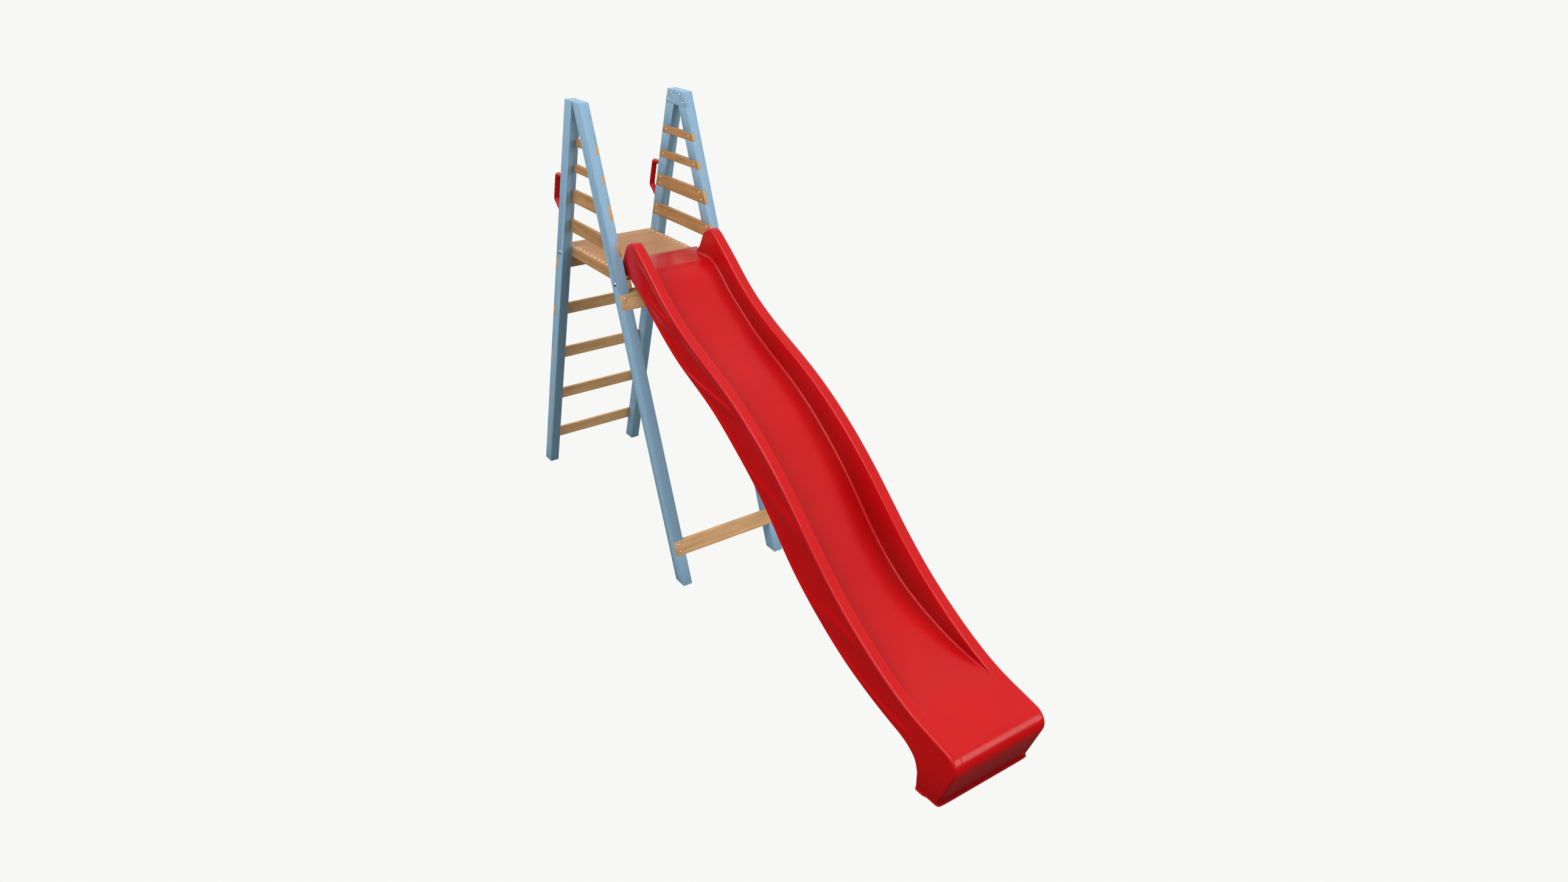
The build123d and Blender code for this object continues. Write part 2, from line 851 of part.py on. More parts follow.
under_planes = [
    Plane(origin=(x, y, deck_under), x_dir=(1, 0, 0), z_dir=(0, 0, -1))
    for x, y in tongue_screw_spots
]
screw_group(under_planes, slide_screw_long, "slide_screws")
screw_group(
    [p.offset(handle_pad_thick) for side in (1, -1) for p in handle_screw_planes(side)],
    screw_long,
    "handle_screws",
)
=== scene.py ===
"""Garden slide: a stained timber A-frame tower with a moulded red slide.

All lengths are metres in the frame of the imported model: +X down the slide,
+Y to the left and +Z up, with the ground at Z = 0.
"""

import logging
import math
from dataclasses import dataclass, field
from enum import Enum
from typing import Sequence

import bpy
import numpy as np
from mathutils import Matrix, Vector


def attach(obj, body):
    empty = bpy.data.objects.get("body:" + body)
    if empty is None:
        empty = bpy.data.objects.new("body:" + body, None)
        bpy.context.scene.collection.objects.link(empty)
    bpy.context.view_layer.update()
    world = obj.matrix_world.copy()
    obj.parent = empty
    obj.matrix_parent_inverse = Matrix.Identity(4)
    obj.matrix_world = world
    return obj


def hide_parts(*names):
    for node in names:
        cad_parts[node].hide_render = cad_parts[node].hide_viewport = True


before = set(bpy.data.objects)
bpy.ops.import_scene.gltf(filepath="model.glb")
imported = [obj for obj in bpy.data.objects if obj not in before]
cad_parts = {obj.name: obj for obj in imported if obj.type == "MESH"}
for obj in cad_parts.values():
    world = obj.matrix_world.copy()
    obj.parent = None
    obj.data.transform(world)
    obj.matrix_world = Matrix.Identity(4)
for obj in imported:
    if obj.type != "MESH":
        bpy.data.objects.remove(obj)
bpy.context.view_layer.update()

log = logging.getLogger("garden_slide")

MM = 0.001
BODY = "root"

# Points of a line in one plane, in millimetres.
Outline = tuple[tuple[float, float], ...]

# The tower from the side is an A, whose posts lean in from the ground to the apex.
TOWER_X = -877.775 * MM
TOWER_HEIGHT = 2077.6 * MM
BASE_HALF = 788.25 * MM
APEX_HALF = 72.0 * MM
LEAN = math.atan((BASE_HALF - APEX_HALF) / TOWER_HEIGHT)

# From the middle of the tower to the outer faces of its posts.
TOWER_HALF_WIDTH = 278.7 * MM
POST_THICKNESS = 45.0 * MM

# Points closer than this are one point, in a copied board and in a swept surface.
BOARD_WELD = 0.001 * MM
SWEEP_WELD = 0.02 * MM


class Grain(Enum):
    """The way a board's fibres run."""

    REAR_POST = "rear_post"
    FRONT_POST = "front_post"
    ACROSS = "across"
    ALONG = "along"


class Side(Enum):
    """The two sides of the tower."""

    LEFT = 1
    RIGHT = -1


# ------------------------------------------------------------------ node tools
def linear(hex_colour: str) -> tuple[float, float, float, float]:
    """Turns an sRGB hex colour into the linear colour that shaders read.

    Args:
        hex_colour: Six hex digits.

    Returns:
        Linear red, green, blue and an alpha of 1.
    """
    parts = [int(hex_colour[i:i + 2], 16) / 255 for i in (0, 2, 4)]
    low = 0.04045
    values = [v / 12.92 if v <= low else ((v + 0.055) / 1.055) ** 2.4 for v in parts]
    return (values[0], values[1], values[2], 1.0)


def add_node(
    owner: bpy.types.Material | bpy.types.World,
    kind: str,
    links: dict[str | int, object],
    **settings: object,
) -> bpy.types.Node:
    """Adds one shader node with its settings and incoming links.

    Args:
        owner: The material or world that gets the node.
        kind: The node's type name.
        links: Input name or number to an output socket or a plain value.
        settings: Properties of the node itself.

    Returns:
        The new node.
    """
    node = owner.node_tree.nodes.new(kind)
    for name, value in settings.items():
        setattr(node, name, value)
    for name, value in links.items():
        if isinstance(value, bpy.types.NodeSocket):
            owner.node_tree.links.new(value, node.inputs[name])
        else:
            node.inputs[name].default_value = value
    return node


def fresh_material(name: str) -> tuple[bpy.types.Material, bpy.types.Node]:
    """Makes an empty node material.

    Args:
        name: The finish's name.

    Returns:
        The material and its principled shader.
    """
    material = bpy.data.materials.new(name)
    material.use_nodes = True
    material.node_tree.nodes.clear()
    shader = add_node(material, "ShaderNodeBsdfPrincipled", {})
    add_node(material, "ShaderNodeOutputMaterial", {"Surface": shader.outputs[0]})
    return material, shader


def ramp(
    node: bpy.types.Node, stops: Sequence[tuple[float, tuple[float, float, float, float]]]
) -> bpy.types.Node:
    """Sets a colour ramp's stops.

    Args:
        node: The colour ramp.
        stops: Place and colour of each stop.

    Returns:
        The same node.
    """
    elements = node.color_ramp.elements
    while len(elements) < len(stops):
        elements.new(0.5)
    for element, (place, colour) in zip(elements, stops):
        element.position = place
        element.color = colour
    return node


# -------------------------------------------------------------------- finishes
@dataclass(frozen=True)
class PineFinish:
    """Planed pine, bare or under an opaque stain, with the grain along one axis."""

    name: str
    dark: str
    middle: str
    light: str
    end_grain_and_seam_shade: str
    # Tone multiplied into faces that look down: a painted shade.
    underside_shade: str
    roughness: float
    # Growth rings 2 to 4 mm apart. Single fibres are too fine to show and aren't drawn.
    grain_width: float = 3.5 * MM
    grain_length: float = 110 * MM
    mottle_size: float = 60 * MM
    mottle_stretch: float = 4.0
    bump: float = 0.25
    bump_depth: float = 0.25 * MM
    contrast: float = 0.5
    smoothest: float = -0.06
    roughest: float = 0.08
    ior: float = 1.45
    # How squarely a face must look along the fibres before it counts as a cut end. On the deck, how
    # squarely a face must look across the boards before it gets the painted seam shade.
    end_and_seam_from: float = 0.84
    end_and_seam_full: float = 0.9
    # How far a face must lean over before it gets the painted shade.
    lean_from: float = -0.1
    lean_full: float = -0.28
    # On the deck, faces that look along this axis, the sides of the boards, get a dark painted seam
    # shade.
    seam_shade_axis: tuple[float, float, float] | None = None

    def build(self, grain: Grain) -> bpy.types.Material:
        """Builds the material for one direction of the grain.

        Args:
            grain: The way the fibres run.

        Returns:
            The finished material.
        """
        material, shader = fresh_material(f"{self.name}_{grain.value}")
        # How the pattern turns to lay its X along the fibres, and which way those run.
        turns = {
            Grain.REAR_POST: (0.0, math.pi / 2 + LEAN, 0.0),
            Grain.FRONT_POST: (0.0, math.pi / 2 - LEAN, 0.0),
            Grain.ACROSS: (0.0, 0.0, math.pi / 2),
            Grain.ALONG: (0.0, 0.0, 0.0),
        }
        runs = {
            Grain.REAR_POST: (math.sin(LEAN), 0.0, math.cos(LEAN)),
            Grain.FRONT_POST: (-math.sin(LEAN), 0.0, math.cos(LEAN)),
            Grain.ACROSS: (0.0, 1.0, 0.0),
            Grain.ALONG: (1.0, 0.0, 0.0),
        }
        place = add_node(material, "ShaderNodeTexCoord", {})
        turned = add_node(
            material,
            "ShaderNodeMapping",
            {"Vector": place.outputs["Object"], "Rotation": turns[grain]},
        )
        across, along = 1 / self.grain_width, 1 / self.grain_length
        stretched = add_node(
            material,
            "ShaderNodeMapping",
            {"Vector": turned.outputs[0], "Scale": (along, across, across)},
        )
        fibres = add_node(
            material,
            "ShaderNodeTexNoise",
            {"Vector": stretched.outputs[0], "Scale": 1.0, "Detail": 5.0, "Roughness": 0.6},
        )
        across, along = 1 / self.mottle_size, 1 / (self.mottle_stretch * self.mottle_size)
        wide = add_node(
            material,
            "ShaderNodeMapping",
            {"Vector": turned.outputs[0], "Scale": (along, across, across)},
        )
        mottle = add_node(
            material,
            "ShaderNodeTexNoise",
            {"Vector": wide.outputs[0], "Scale": 1.0, "Detail": 3.0, "Roughness": 0.55},
        )
        mixed = add_node(
            material,
            "ShaderNodeMix",
            {"Factor": self.contrast, 2: mottle.outputs[0], 3: fibres.outputs[0]},
        )
        tone = ramp(
            add_node(material, "ShaderNodeValToRGB", {"Fac": mixed.outputs[0]}),
            ((0.3, linear(self.dark)), (0.5, linear(self.middle)), (0.7, linear(self.light))),
        )
        # The cut ends take the stain or the oil another way, so they have their own tone. On the
        # deck this tone is a dark painted shade on the sides of the boards, in the seams.
        facing = add_node(material, "ShaderNodeNewGeometry", {})
        dot = add_node(
            material,
            "ShaderNodeVectorMath",
            {0: facing.outputs["Normal"], 1: self.seam_shade_axis or runs[grain]},
            operation="DOT_PRODUCT",
        )
        size = add_node(
            material, "ShaderNodeMath", {0: dot.outputs["Value"]}, operation="ABSOLUTE"
        )
        ends_and_seams = add_node(
            material,
            "ShaderNodeMapRange",
            {"Value": size.outputs[0], "From Min": self.end_and_seam_from, "From Max": self.end_and_seam_full},
        )
        # Painted shade: faces that lean over have their colour multiplied by a darker tone, for the
        # shade they lie in.
        height = add_node(material, "ShaderNodeSeparateXYZ", {0: facing.outputs["Normal"]})
        under = add_node(
            material,
            "ShaderNodeMapRange",
            {
                "Value": height.outputs[2],
                "From Min": self.lean_from,
                "From Max": self.lean_full,
            },
        )
        depth = add_node(
            material,
            "ShaderNodeMix",
            {"Factor": under.outputs[0], 6: tone.outputs[0], 7: linear(self.underside_shade)},
            data_type="RGBA",
            blend_type="MULTIPLY",
        )
        colour = add_node(
            material,
            "ShaderNodeMix",
            {"Factor": ends_and_seams.outputs[0], 6: depth.outputs[2], 7: linear(self.end_grain_and_seam_shade)},
            data_type="RGBA",
        )
        relief = add_node(
            material,
            "ShaderNodeBump",
            {"Height": fibres.outputs[0], "Strength": self.bump, "Distance": self.bump_depth},
        )
        shine = add_node(
            material,
            "ShaderNodeMapRange",
            {
                "Value": fibres.outputs[0],
                "To Min": self.roughness + self.smoothest,
                "To Max": self.roughness + self.roughest,
            },
        )
        links = material.node_tree.links
        links.new(colour.outputs[2], shader.inputs["Base Color"])
        links.new(relief.outputs[0], shader.inputs["Normal"])
        links.new(shine.outputs[0], shader.inputs["Roughness"])
        shader.inputs["IOR"].default_value = self.ior
        return material


@dataclass(frozen=True)
class MouldedFinish:
    """Glossy moulded plastic: colour through and through, with soft scuffs in the gloss and painted
    shade where its walls face each other.
    """

    name: str
    main: str
    deep: str
    roughness: float
    scuff: float = 0.05
    scuff_size: float = 35 * MM
    cloud_size: float = 220 * MM
    # Painted shade: where walls face each other within reach, the colour is darkened, not at all
    # where a point is as open as shade_from, and down to this share of it at shade_full.
    shade: float = 0.5
    shade_reach: float = 0.35
    shade_from: float = 0.7
    shade_full: float = 0.42
    ior: float = 1.36

    def build(self) -> bpy.types.Material:
        """Builds the material.

        Returns:
            The finished material.
        """
        material, shader = fresh_material(self.name)
        place = add_node(material, "ShaderNodeTexCoord", {})
        cloud = add_node(
            material,
            "ShaderNodeTexNoise",
            {"Vector": place.outputs["Object"], "Scale": 1 / self.cloud_size, "Detail": 2.0},
        )
        tone = ramp(
            add_node(material, "ShaderNodeValToRGB", {"Fac": cloud.outputs[0]}),
            ((0.3, linear(self.deep)), (0.7, linear(self.main))),
        )
        scuff = add_node(
            material,
            "ShaderNodeTexNoise",
            {"Vector": place.outputs["Object"], "Scale": 1 / self.scuff_size, "Detail": 2.0},
        )
        shine = add_node(
            material,
            "ShaderNodeMapRange",
            {
                "Value": scuff.outputs[0],
                "From Min": 0.35,
                "From Max": 0.75,
                "To Min": self.roughness,
                "To Max": self.roughness + self.scuff,
            },
        )
        # Painted shade from ambient occlusion, multiplied into the colour.
        inside = add_node(
            material, "ShaderNodeAmbientOcclusion", {"Distance": self.shade_reach}, samples=8
        )
        shade = add_node(
            material,
            "ShaderNodeMapRange",
            {
                "Value": inside.outputs["AO"],
                "From Min": self.shade_full,
                "From Max": self.shade_from,
                "To Min": self.shade,
            },
        )
        deep = add_node(
            material,
            "ShaderNodeMix",
            {"Factor": 1.0, 6: tone.outputs[0], 7: shade.outputs[0]},
            data_type="RGBA",
            blend_type="MULTIPLY",
        )
        links = material.node_tree.links
        links.new(deep.outputs[2], shader.inputs["Base Color"])
        links.new(shine.outputs[0], shader.inputs["Roughness"])
        shader.inputs["IOR"].default_value = self.ior
        return material


@dataclass(frozen=True)
class ZincFinish:
    """Bright zinc plating on steel: metallic, in slightly uneven bright and dull patches."""

    name: str
    bright: str
    dull: str
    roughness: float
    patch_size: float = 4 * MM
    smoothest: float = -0.05
    roughest: float = 0.1
    bump: float = 0.15
    bump_depth: float = 0.02 * MM

    def build(self) -> bpy.types.Material:
        """Builds the material.

        Returns:
            The finished material.
        """
        material, shader = fresh_material(self.name)
        place = add_node(material, "ShaderNodeTexCoord", {})
        patches = add_node(
            material,
            "ShaderNodeTexNoise",
            {"Vector": place.outputs["Object"], "Scale": 1 / self.patch_size, "Detail": 3.0},
        )
        tone = ramp(
            add_node(material, "ShaderNodeValToRGB", {"Fac": patches.outputs[0]}),
            ((0.35, linear(self.dull)), (0.65, linear(self.bright))),
        )
        shine = add_node(
            material,
            "ShaderNodeMapRange",
            {
                "Value": patches.outputs[0],
                "To Min": self.roughness + self.smoothest,
                "To Max": self.roughness + self.roughest,
            },
        )
        relief = add_node(
            material,
            "ShaderNodeBump",
            {"Height": patches.outputs[0], "Strength": self.bump, "Distance": self.bump_depth},
        )
        links = material.node_tree.links
        links.new(tone.outputs[0], shader.inputs["Base Color"])
        links.new(shine.outputs[0], shader.inputs["Roughness"])
        links.new(relief.outputs[0], shader.inputs["Normal"])
        shader.inputs["Metallic"].default_value = 1.0
        return material


# ------------------------------------------------------------------ mesh tools
def only(piece: bpy.types.Object) -> None:
    """Selects this object alone and makes it the active one.

    Args:
        piece: The object.
    """
    bpy.ops.object.select_all(action="DESELECT")
    piece.select_set(True)
    bpy.context.view_layer.objects.active = piece


def dress(piece: bpy.types.Object, material: bpy.types.Material) -> None:
    """Gives an object one material.

    Args:
        piece: The object.
        material: Its finish.
    """
    piece.data.materials.clear()
    piece.data.materials.append(material)


def register(piece: bpy.types.Object, slot: str, *nodes: str) -> None:
    """Puts a new piece on the part's body and hides the CAD nodes that it replaces.

    Args:
        piece: The finished piece.
        slot: Not used.
        nodes: The CAD nodes that it replaces.
    """
    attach(piece, BODY)
    if nodes:
        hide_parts(*nodes)
    log.info("%s: %d faces", piece.name, len(piece.data.polygons))


def smooth(piece: bpy.types.Object, sharpest: float) -> None:
    """Shades a piece smooth, apart from its sharper edges.

    Args:
        piece: The object.
        sharpest: Edges up to this many degrees are smoothed over.
    """
    only(piece)
    bpy.ops.object.shade_smooth_by_angle(angle=math.radians(sharpest))


def apply_all(piece: bpy.types.Object) -> None:
    """Applies every modifier of an object in order.

    Args:
        piece: The object.
    """
    only(piece)
    for modifier in list(piece.modifiers):
        bpy.ops.object.modifier_apply(modifier=modifier.name)


def eased_copy(node: str, name: str, ease: float) -> bpy.types.Object:
    """Copies a CAD node and eases its sharp edges, as a sanded arris.

    Args:
        node: The CAD node.
        name: The new piece's name.
        ease: Width of the eased edge.

    Returns:
        The new piece, with its place in its mesh.
    """
    only(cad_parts[node])
    bpy.ops.object.duplicate(linked=False)
    piece = bpy.context.view_layer.objects.active
    piece.name = name
    piece.parent = None
    for key in list(piece.keys()):
        if key.startswith("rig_"):
            del piece[key]
    only(piece)
    bpy.ops.mesh.customdata_custom_splitnormals_clear()
    bpy.ops.object.mode_set(mode="EDIT")
    bpy.ops.mesh.select_all(action="SELECT")
    bpy.ops.mesh.remove_doubles(threshold=BOARD_WELD)
    bpy.ops.mesh.dissolve_limited(angle_limit=math.radians(1.0))
    bpy.ops.object.mode_set(mode="OBJECT")
    edge = piece.modifiers.new("arris", "BEVEL")
    edge.width = ease
    edge.segments = 2
    edge.limit_method = "ANGLE"
    edge.angle_limit = math.radians(60.0)
    apply_all(piece)
    smooth(piece, 30.0)
    return piece


def shaped_grid(name: str, rows: np.ndarray, around: bool) -> bpy.types.Object:
    """Starts from a flat grid and moves its points to the given places.

    Args:
        name: The new piece's name.
        rows: Array of shape (stations, points, 3).
        around: True if each row closes on itself.

    Returns:
        The new surface.
    """
    count, width = rows.shape[:2]
    closed = np.concatenate([rows, rows[:, :1]], axis=1) if around else rows
    columns = width + 1 if around else width
    bpy.ops.object.select_all(action="DESELECT")
    bpy.ops.mesh.primitive_grid_add(
        x_subdivisions=columns - 1, y_subdivisions=count - 1, size=1.0
    )
    piece = bpy.context.view_layer.objects.active
    piece.name = name
    piece.data.vertices.foreach_set("co", closed.reshape(-1).astype(np.float32))
    bpy.ops.object.mode_set(mode="EDIT")
    bpy.ops.mesh.select_all(action="SELECT")
    bpy.ops.mesh.remove_doubles(threshold=SWEEP_WELD)
    bpy.ops.mesh.normals_make_consistent(inside=False)
    bpy.ops.object.mode_set(mode="OBJECT")
    return piece


def eased(share: np.ndarray) -> np.ndarray:
    """Turns shares from 0 to 1 into ones that start and end gently."""
    return share * share * (3 - 2 * share)


def through(points: Sequence[tuple[float, float]], step: float) -> np.ndarray:
    """A natural cubic spline through points, sampled at even steps of its length.

    Args:
        points: Points of the curve, in order.
        step: Distance between samples.

    Returns:
        Array of sampled points.
    """
    p = np.array(points, float)
    t = np.concatenate([[0], np.cumsum(np.hypot(*np.diff(p, axis=0).T))])
    n = len(p)
    h = np.diff(t)
    system = np.zeros((n, n))
    right = np.zeros((n, 2))
    system[0, 0] = system[-1, -1] = 1.0
    for i in range(1, n - 1):
        system[i, i - 1:i + 2] = (h[i - 1], 2 * (h[i - 1] + h[i]), h[i])
        right[i] = 6 * ((p[i + 1] - p[i]) / h[i] - (p[i] - p[i - 1]) / h[i - 1])
    bend = np.linalg.solve(system, right)
    fine = np.linspace(0, t[-1], max(2, int(t[-1] / step) + 1))
    i = np.clip(np.searchsorted(t, fine, side="right") - 1, 0, n - 2)
    a = (fine - t[i])[:, None]
    b = (t[i + 1] - fine)[:, None]
    w = h[i][:, None]
    return (
        bend[i] * b ** 3 / (6 * w)
        + bend[i + 1] * a ** 3 / (6 * w)
        + (p[i] / w - bend[i] * w / 6) * b
        + (p[i + 1] / w - bend[i + 1] * w / 6) * a
    )


# ----------------------------------------------------------------- the scene's parts
@dataclass
class Palette:
    """Every finish of the object, built once."""

    blue: dict[Grain, bpy.types.Material] = field(default_factory=dict)
    tan: dict[Grain, bpy.types.Material] = field(default_factory=dict)
    deck: dict[Grain, bpy.types.Material] = field(default_factory=dict)
    slide: bpy.types.Material | None = None
    grip: bpy.types.Material | None = None
    screw: bpy.types.Material | None = None
    bolt: bpy.types.Material | None = None

    def build(self) -> "Palette":
        """Builds the materials.

        Returns:
            The palette itself.
        """
        # Softwood under a light blue opaque stain: the grain shows only as fine streaks. Faces that
        # look down get a pale grey painted shade.
        blue = PineFinish(
            "blue_stained_pine", "88AEC9", "90B6D1", "95BBD7", "9BC2DE", "DADAD6", 0.5,
            bump=0.15, contrast=0.75,
        )
        # Oiled pine with brown speckled grain, a little brighter at the cut ends.
        tan = PineFinish(
            "oiled_pine", "A47C49", "BC8B57", "CB9562", "CFA06C", "FFFFFF", 0.55,
            contrast=0.4, grain_length=40 * MM, mottle_size=34 * MM,
        )
        # A lighter copy of the same oiled pine for the boards that run across the tower: painted
        # light, which lifts these boards out of the shade of the deck and the slide.
        pale = PineFinish(
            "painted_light_oiled_pine", "C79B66", "DFAF79", "EDBA88", "DEA669", "FFFFFF", 0.55,
            contrast=0.4, grain_length=40 * MM, mottle_size=34 * MM,
        )
        # The same pine on the deck, worn paler, with long light streaks, and a dark painted shade on
        # the sides of its boards, in the seams.
        deck = PineFinish(
            "worn_deck_pine", "B67F50", "CF9663", "DEA474", "5E3F22", "FFFFFF", 0.5,
            contrast=0.75, grain_length=170 * MM, seam_shade_axis=(1.0, 0.0, 0.0),
        )
        self.blue = {g: blue.build(g) for g in (Grain.REAR_POST, Grain.FRONT_POST)}
        self.tan = {Grain.ACROSS: pale.build(Grain.ACROSS), Grain.ALONG: tan.build(Grain.ALONG)}
        self.deck = {Grain.ACROSS: deck.build(Grain.ACROSS)}
        # Rotationally moulded polyethylene, coloured through: an even red with a soft gloss.
        self.slide = MouldedFinish("moulded_red_polyethylene", "CC0B10", "C7090E", 0.2).build()
        # Injection moulded nylon: the same gloss on a slightly darker red.
        self.grip = MouldedFinish("moulded_red_nylon", "C00A0E", "B6080C", 0.2).build()
        # Zinc plated steel, brighter on the turned screw heads than on the bolts.
        self.screw = ZincFinish("bright_zinc_screw", "F6F7F8", "E4E6E8", 0.18).build()
        self.bolt = ZincFinish("zinc_plated_bolt", "E2E5E8", "C4C8CC", 0.24).build()
        return self


@dataclass
class Tower:
    """The timber tower: four posts, boards, rails and a deck."""

    palette: Palette
    post_ease: float = 1.5 * MM
    board_ease: float = 1.0 * MM
    deck_ease: float = 1.6 * MM
    rails: int = 4
    rungs: int = 5
    deck_boards: int = 8

    def board(self, node: str, slot: str, material: bpy.types.Material, ease: float) -> None:
        """Makes one timber piece from its CAD node, with sanded arrises.

        Args:
            node: The CAD node.
            slot: A material slot name, handed on to register.
            material: Its finish.
            ease: Width of the arrises.
        """
        piece = eased_copy(node, f"{node}_timber", ease)
        dress(piece, material)
        register(piece, slot, node)

    def build(self) -> None:
        """Builds and dresses the posts, gussets, boards, joists and deck."""
        blue, tan, deck = self.palette.blue, self.palette.tan, self.palette.deck
        stained, bare = "blue_stained_pine", "tan_pine"
        for side in ("left", "right"):
            self.board(f"rear_post_{side}", stained, blue[Grain.REAR_POST], self.post_ease)
            self.board(f"front_post_{side}", stained, blue[Grain.FRONT_POST], self.post_ease)
            self.board(f"apex_gusset_{side}", stained, blue[Grain.FRONT_POST], self.board_ease)
            for number in range(1, self.rails + 1):
                self.board(f"guard_rail_{side}_{number}", bare, tan[Grain.ALONG], self.board_ease)
            self.board(f"deck_joist_{side}", bare, tan[Grain.ALONG], self.board_ease)
        across = [f"rung_{number}" for number in range(1, self.rungs + 1)]
        across += ["front_cross_board", "slide_support_board", "slide_batten"]
        for node in across:
            self.board(node, bare, tan[Grain.ACROSS], self.board_ease)
        for number in range(1, self.deck_boards + 1):
            self.board(f"deck_board_{number}", "deck_pine", deck[Grain.ACROSS], self.deck_ease)


@dataclass
class Fasteners:
    """Screws, bolts, washers and nuts, carried over from the CAD as they are."""

    palette: Palette

    def build(self) -> None:
        """Gives every fastener its plating."""
        for name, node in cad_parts.items():
            if name.endswith("_screws"):
                finish = self.palette.screw
            elif name.startswith(("carriage_", "bolt_")):
                finish = self.palette.bolt
            else:
                continue
            dress(node, finish)
            log.info("%s: carried over", name)


@dataclass
class Handle:
    """A moulded hand grip on the rear face of a post."""

    side: Side
    material: bpy.types.Material
    # How far up the post the grip's middle is, and half its width across the post.
    middle: float = 1715.0 * MM
    half_width: float = 12.0 * MM
    # Points round each section, and how square it is: 1 is an ellipse, 0 a rectangle.
    around: int = 28
    power: float = 0.72
    limb_steps: int = 8
    corner_steps: int = 8
    grip_steps: int = 48
    grip_half: float = 54.0
    scallop_pitch: float = 27.0
    scallop_depth: float = 3.2

    def outline(self) -> list[tuple[tuple[float, float], tuple[float, float]]]:
        """Pairs of outer and inner points from one foot to the other, in millimetres.

        Returns:
            (outer, inner) pairs, each (up the post, out from it).
        """
        # The pad on the post and the start of the limb.
        half = [((-125, 0), (-91, 0)), ((-125, 7.5), (-87.5, 7.5)), ((-122.5, 9), (-86, 8.5))]
        half += [((-106, 9), (-85.3, 9.6)), ((-101.5, 11.5), (-83.5, 12.5))]
        # The limb, which slants out from the post.
        for step in range(1, self.limb_steps + 1):
            t = step / self.limb_steps
            half.append(((-101.5 + t * 22.5, 11.5 + t * 50), (-83.5 + t * 26, 12.5 + t * 42)))
        # The corner, round outside and tighter inside.
        for step in range(1, self.corner_steps + 1):
            angle = math.radians(158 - 8.5 * step)
            outer = (-56 + 24.5 * math.cos(angle), 60 + 25 * math.sin(angle))
            inner = (-50 + 7 * math.cos(angle), 54 + 7 * math.sin(angle))
            half.append((outer, inner))
        # The grip itself, scalloped on the inner side for the fingers.
        grip = []
        for step in range(1, self.grip_steps):
            u = self.grip_half * (2 * step / self.grip_steps - 1)
            phase = math.pi * (u + self.grip_half) / self.scallop_pitch
            wave = self.scallop_depth * abs(math.sin(phase)) ** 0.8
            grip.append(((u, 85.0), (u, 61.0 + wave)))
        other = [((-o[0], o[1]), (-i[0], i[1])) for o, i in half[::-1]]
        return half + grip + other

    def build(self) -> None:
        """Sweeps a rounded section along the grip and places it on its post."""
        out = Vector((-math.cos(LEAN), 0, math.sin(LEAN)))
        up = Vector((math.sin(LEAN), 0, math.cos(LEAN)))
        height = self.middle * math.cos(LEAN)
        foot_x = TOWER_X - (BASE_HALF - math.tan(LEAN) * height)
        centre_y = self.side.value * (TOWER_HALF_WIDTH - POST_THICKNESS / 2)
        base = Vector((foot_x, centre_y, height))
        rows = []
        for outer, inner in self.outline():
            middle = ((outer[0] + inner[0]) / 2, (outer[1] + inner[1]) / 2)
            reach = ((outer[0] - inner[0]) / 2, (outer[1] - inner[1]) / 2)
            row = []
            for index in range(self.around):
                angle = 2 * math.pi * index / self.around
                c, s = math.cos(angle), math.sin(angle)
                c = math.copysign(abs(c) ** self.power, c)
                s = math.copysign(abs(s) ** self.power, s)
                u = (middle[0] + reach[0] * c) * MM
                v = (middle[1] + reach[1] * c) * MM
                point = base + up * u + out * v
                row.append((point.x, point.y + self.half_width * s, point.z))
            rows.append(row)
        # Each foot is closed by a row that is drawn together to one point.
        first, last = ([tuple(np.mean(row, axis=0))] * self.around for row in (rows[0], rows[-1]))
        name = self.side.name.lower()
        piece = shaped_grid(f"hand_grip_{name}", np.array([first, *rows, last]), True)
        smooth(piece, 40.0)
        dress(piece, self.material)
        register(piece, "red_grip_plastic", f"handle_{name}")


@dataclass(frozen=True)
class SlideLines:
    """Lines of the slide seen from the side, (along, height) in millimetres.

    Along counts from the middle of the tower, and height from the ground.
    """

    deck: float = 1364.5
    landing: float = 1392.0
    landing_end: float = 355.0
    tongue: float = 166.0
    ear_foot: float = 235.8
    ears_end: float = 380.0
    pair_end: float = 2300.0
    bed_merge: float = 2400.0
    # The rim from the foot of the ears to the nose.
    top: Outline = (
        (235.8, 1392), (268, 1431), (298, 1484), (328, 1514), (366, 1525), (416, 1500),
        (516, 1422), (616, 1341), (716, 1276), (866, 1202), (1016, 1140), (1166, 1071),
        (1316, 984), (1466, 877), (1616, 749), (1716, 657), (1866, 533), (2016, 434),
        (2166, 354), (2323, 295.5), (2400, 278.5), (2495.8, 259.3),
    )
    # The middle of the bed from the end of the landing until it meets the rim.
    bed: Outline = (
        (361, 1392), (399, 1380), (437, 1359), (516, 1293), (616, 1225), (716, 1163),
        (866, 1089), (1016, 1021), (1166, 936.5), (1316, 828), (1416, 742), (1516, 642),
        (1616, 545), (1716, 466), (1816, 406), (1966, 348), (2116, 311), (2230, 297.5),
        (2323, 290), (2380, 283),
    )
    # The lower edge of the outer wall from the deck to the ground.
    skirt: Outline = (
        (323, 1364.5), (376, 1333), (416, 1309), (516, 1236), (616, 1166), (716, 1106),
        (866, 1039.5), (1016, 970), (1166, 875), (1316, 767), (1416, 678), (1516, 573),
        (1616, 482), (1766, 376), (1916, 291), (2066, 230), (2216, 184.5), (2300, 155),
        (2338, 125), (2359, 70), (2359, 0),
    )
    # Centre and radius of the nose, and the directions in which its arc starts and ends.
    nose: tuple[float, float, float] = (2483.8, 200.5, 60.0)
    nose_turn: tuple[float, float] = (78.5, -21.0)


